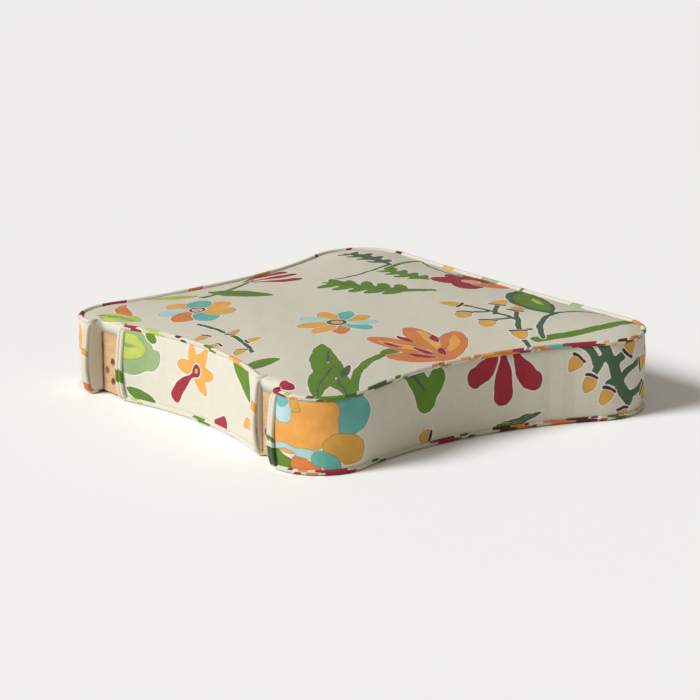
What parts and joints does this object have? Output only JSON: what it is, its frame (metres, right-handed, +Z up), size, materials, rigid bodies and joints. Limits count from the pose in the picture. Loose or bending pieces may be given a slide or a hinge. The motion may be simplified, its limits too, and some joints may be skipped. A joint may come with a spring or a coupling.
{
  "type": "chair seat pad",
  "caption": "Boxed upholstered dining chair seat pad with a waisted, lobed plan, welted top and bottom edges and rear-leg notches; printed linen cover over a beech frame.",
  "frame": {"origin": "centre of the bounding box, on the underside", "axes": "+X to the sitter's left, +Y to the rear, +Z up"},
  "size_m": [0.5214, 0.4714, 0.0963],
  "materials": {
    "printed_linen": "off-white plain-weave linen with a large flat-colour botanical print",
    "welt": "self-fabric piping cut on the bias from the printed linen",
    "plain_linen": "cover fabric turned under the frame",
    "dust_cloth": "black non-woven dust cloth",
    "foam": "open-cell polyurethane foam",
    "wadding": "white polyester wadding",
    "hessian": "natural jute hessian",
    "webbing": "herringbone jute webbing",
    "beech": "sawn and planed beech",
    "steel": "zinc-plated steel"
  },
  "bodies": {
    "root": {"dust_cloth": "dust_cloth", "foam_crown": "foam", "foam_slab": "foam", "front_edge_foam": "foam", "front_left_corner_block": "beech", "front_left_dowel_front": "beech", "front_left_dowel_side": "beech", "front_left_leg_tee_nut": "steel", "front_rail": "beech", "front_right_corner_block": "beech", "front_right_dowel_front": "beech", "front_right_dowel_side": "beech", "front_right_leg_tee_nut": "steel", "hessian_sheet": "hessian", "left_edge_foam": "foam", "left_leg_double_welt_inner": "welt", "left_leg_double_welt_outer": "welt", "left_leg_pad_screw_inner": "steel", "left_leg_pad_screw_outer": "steel", "left_rail": "beech", "left_rear_leg_pad": "beech", "lower_welt": "welt", "lower_welt_rear": "welt", "rear_band": "printed_linen", "rear_edge_foam": "foam", "rear_left_block_screw_rear": "steel", "rear_left_block_screw_side": "steel", "rear_left_corner_block": "beech", "rear_left_dowel": "beech", "rear_rail": "beech", "rear_right_block_screw_rear": "steel", "rear_right_block_screw_side": "steel", "rear_right_corner_block": "beech", "rear_right_dowel": "beech", "right_edge_foam": "foam", "right_leg_double_welt_inner": "welt", "right_leg_double_welt_outer": "welt", "right_leg_pad_screw_inner": "steel", "right_leg_pad_screw_outer": "steel", "right_rail": "beech", "right_rear_leg_pad": "beech", "side_band": "printed_linen", "top_panel": "printed_linen", "top_wadding": "wadding", "underside_facing": "plain_linen", "underside_facing_rear": "plain_linen", "upper_welt": "welt", "upper_welt_rear": "welt", "webbing_cross_1": "webbing", "webbing_cross_2": "webbing", "webbing_cross_3": "webbing", "webbing_cross_4": "webbing", "webbing_long_1": "webbing", "webbing_long_2": "webbing", "webbing_long_3": "webbing"}
  },
  "joints": []
}
